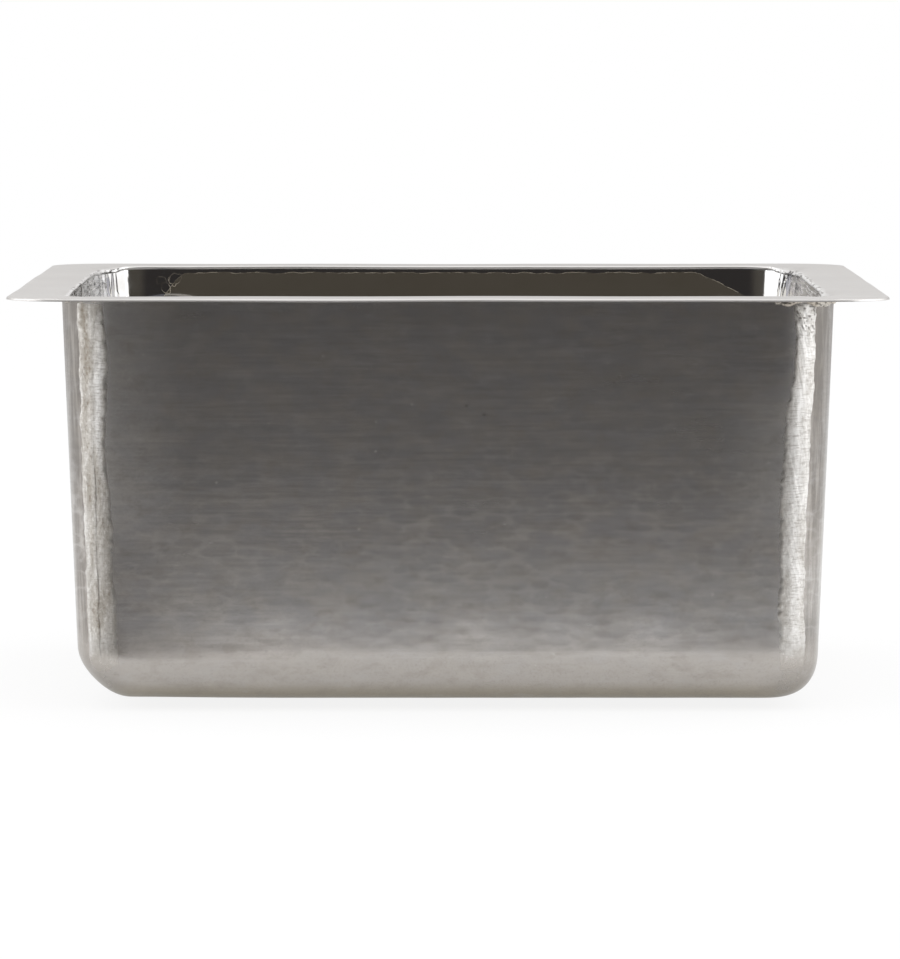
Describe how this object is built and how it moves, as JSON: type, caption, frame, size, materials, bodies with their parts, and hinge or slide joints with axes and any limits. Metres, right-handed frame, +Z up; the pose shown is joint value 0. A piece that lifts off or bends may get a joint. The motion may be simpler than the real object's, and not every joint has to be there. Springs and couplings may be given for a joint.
{
  "type": "bar prep sink",
  "caption": "Square bar prep sink: a hammered sheet-metal bowl with leaning walls and rounded bends, welded to a flat rim, with a dished seat round its drain hole.",
  "frame": {"origin": "centre of the bottom of the overall box, which is the centre of the drain hole at the underside of the drain seat", "axes": "+Z up through the open bowl, +X along the front to the right, +Y from the front to the back"},
  "size_m": [0.381, 0.381, 0.181],
  "materials": {
    "satin_metal": "warm grey satin, fine grain along the rim",
    "hammered_metal": "hammered, satin outside and polished inside",
    "filed_metal": "filed weld, rough bright marks",
    "weld_metal": "rippled weld bead"
  },
  "bodies": {
    "root": {"rim_flange": "satin_metal", "rim_lip": "satin_metal", "rim_weld": "weld_metal", "front_wall": "hammered_metal", "back_wall": "hammered_metal", "left_wall": "hammered_metal", "right_wall": "hammered_metal", "front_left_corner": "hammered_metal", "front_right_corner": "hammered_metal", "back_left_corner": "hammered_metal", "back_right_corner": "hammered_metal", "front_left_corner_weld": "filed_metal", "front_right_corner_weld": "filed_metal", "back_left_corner_weld": "filed_metal", "back_right_corner_weld": "filed_metal", "front_bottom_bend": "hammered_metal", "back_bottom_bend": "hammered_metal", "left_bottom_bend": "hammered_metal", "right_bottom_bend": "hammered_metal", "front_left_ball_corner": "hammered_metal", "front_right_ball_corner": "hammered_metal", "back_left_ball_corner": "hammered_metal", "back_right_ball_corner": "hammered_metal", "floor_plate": "hammered_metal", "drain_slope": "hammered_metal", "drain_seat": "hammered_metal", "drain_weld": "weld_metal"}
  },
  "joints": []
}
